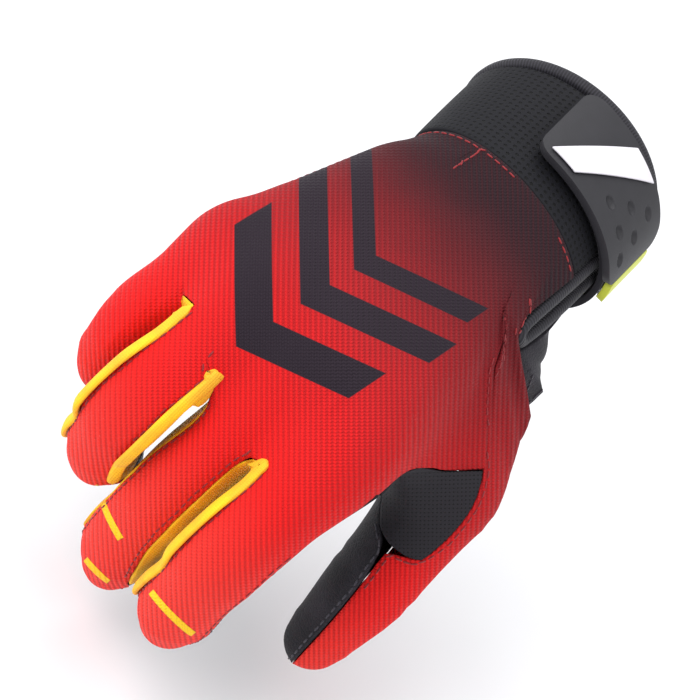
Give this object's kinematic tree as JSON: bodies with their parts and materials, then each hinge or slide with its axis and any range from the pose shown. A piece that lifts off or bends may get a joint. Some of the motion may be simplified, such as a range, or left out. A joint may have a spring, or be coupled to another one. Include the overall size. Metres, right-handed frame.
{
  "type": "motocross glove",
  "caption": "Right-hand motocross glove in a worn, half-curled shape, with knitted back, leather-like palm, elastic finger sides, perforated cuff and a strap with a moulded badge.",
  "frame": {"origin": "centre of the wrist opening, in the plane of the cuff's rim", "axes": "+Y points out of the wrist opening, along the forearm; +Z is the back of the wrist; -Y runs to the fingers and the thumb is on the +X side"},
  "size_m": [0.1142, 0.1726, 0.1396],
  "materials": {
    "knit_back": "ribbed knit, red fading to near black at the wrist",
    "palm_leather": "matt, fine grain",
    "finger_sides": "smooth stretch cloth",
    "gusset": "matt stretch cloth",
    "cuff": "matt, perforated",
    "binding": "matt rolled tape",
    "strap": "matt woven tape",
    "badge": "satin moulded rubber",
    "bar": "satin moulded rubber",
    "tip": "satin moulded rubber",
    "tip_cord": "satin moulded rubber"
  },
  "bodies": {
    "root": {"back_panel": "knit_back", "palm_panel": "palm_leather", "fourchette_index_middle": "finger_sides", "fourchette_middle_ring": "finger_sides", "fourchette_ring_little": "finger_sides", "thumb_gusset": "gusset", "cuff_band": "cuff", "cuff_binding": "binding", "slit_binding": "binding", "strap": "strap", "strap_badge": "badge", "strap_bar": "bar", "strap_tip": "tip", "pull_tab": "tip_cord"}
  },
  "joints": []
}
